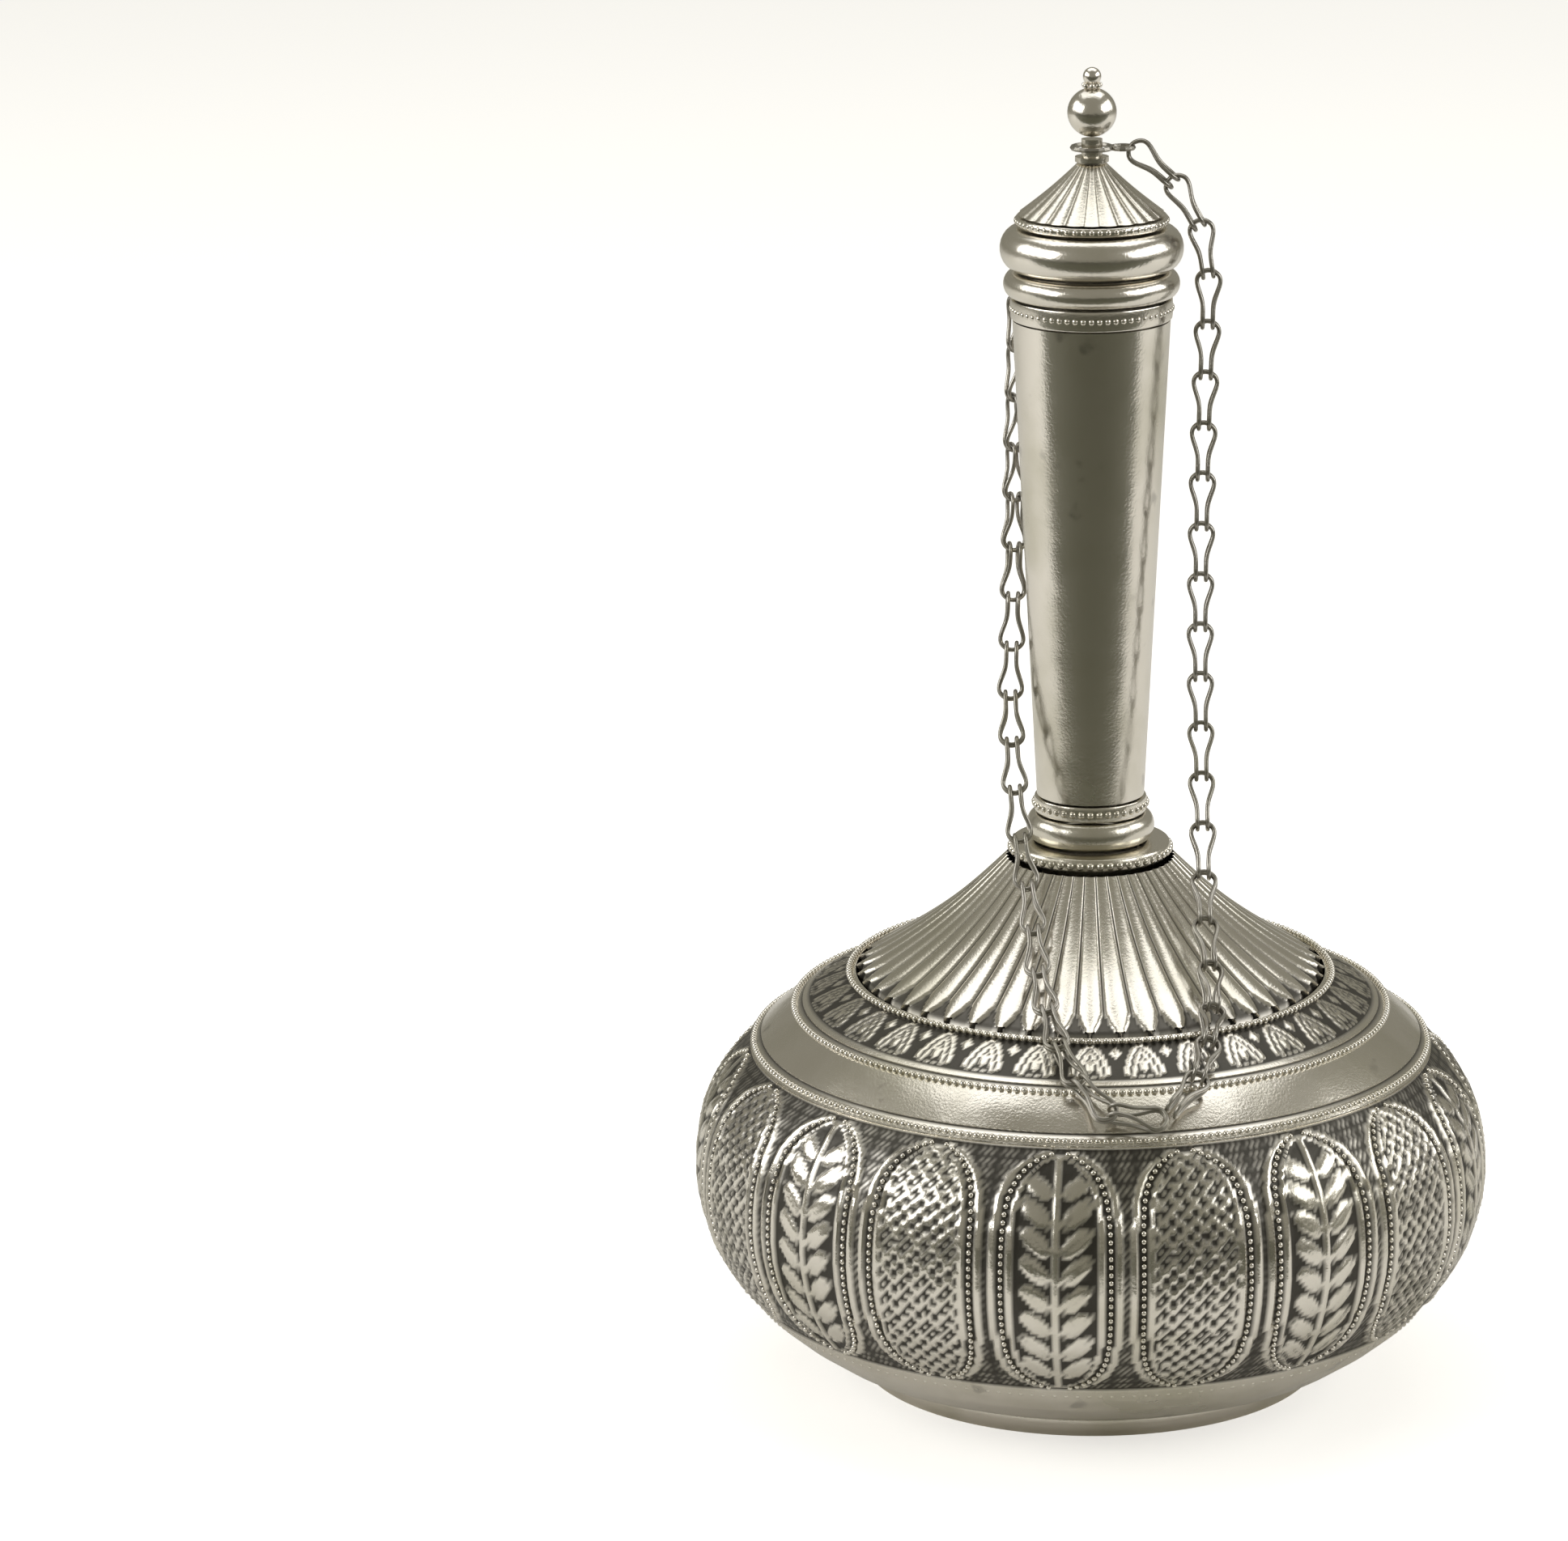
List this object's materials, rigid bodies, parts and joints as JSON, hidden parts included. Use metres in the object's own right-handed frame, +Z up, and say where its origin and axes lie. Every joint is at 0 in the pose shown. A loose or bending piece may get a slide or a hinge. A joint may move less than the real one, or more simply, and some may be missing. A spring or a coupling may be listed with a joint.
{
  "type": "rosewater flask",
  "caption": "Squat round metal flask on a foot ring, with a fluted shoulder, tall tapering neck and a domed lift-off cap held by a folded-link chain.",
  "frame": {"origin": "centre of the foot ring's underside", "axes": "+Z up along the neck; the chain hangs on the +X side and the pictured front faces -Y"},
  "size_m": [0.1166, 0.1166, 0.1929],
  "materials": {
    "silver": "polished and softly worn",
    "dark_silver": "darkened wire"
  },
  "bodies": {
    "flask": {"foot_ring": "silver", "bowl": "silver", "shoulder": "silver", "shoulder_cone": "silver", "cone_collar": "silver", "neck_knop": "silver", "neck_base_bead": "silver", "neck_tube": "silver", "lip_bead": "silver", "lip_ring": "silver", "chain_staple": "dark_silver", "chain_link_22": "dark_silver", "chain_link_23": "dark_silver", "chain_link_24": "dark_silver", "chain_link_25": "dark_silver", "chain_link_26": "dark_silver", "chain_link_27": "dark_silver", "chain_link_28": "dark_silver", "chain_link_29": "dark_silver", "chain_link_30": "dark_silver", "chain_link_31": "dark_silver", "chain_link_32": "dark_silver", "chain_link_33": "dark_silver", "chain_link_34": "dark_silver", "chain_link_35": "dark_silver", "chain_link_36": "dark_silver", "chain_link_37": "dark_silver", "chain_link_38": "dark_silver", "chain_link_39": "dark_silver", "chain_link_40": "dark_silver"},
    "cap": {"cap_sleeve": "silver", "cap_ring": "silver", "cap_bead": "silver", "cap_dome": "silver", "finial_stem": "silver", "finial_ball": "silver", "finial_tip": "silver"},
    "ring_and_chain": {"finial_ring": "dark_silver", "chain_link_1": "dark_silver", "chain_link_2": "dark_silver", "chain_link_3": "dark_silver", "chain_link_4": "dark_silver", "chain_link_5": "dark_silver", "chain_link_6": "dark_silver", "chain_link_7": "dark_silver", "chain_link_8": "dark_silver", "chain_link_9": "dark_silver", "chain_link_10": "dark_silver", "chain_link_11": "dark_silver", "chain_link_12": "dark_silver", "chain_link_13": "dark_silver", "chain_link_14": "dark_silver", "chain_link_15": "dark_silver", "chain_link_16": "dark_silver", "chain_link_17": "dark_silver", "chain_link_18": "dark_silver", "chain_link_19": "dark_silver", "chain_link_20": "dark_silver", "chain_link_21": "dark_silver"}
  },
  "joints": [
    {"name": "cap_lift", "type": "slide", "parent": "flask", "child": "cap", "axis": [0, 0, 1], "range_m": [0, 0.016]},
    {"name": "ring_swivel", "type": "hinge", "parent": "cap", "child": "ring_and_chain", "pos_m": [0, 0, 0.182], "axis": [0, 0, 1], "range_deg": [0, 12]}
  ]
}
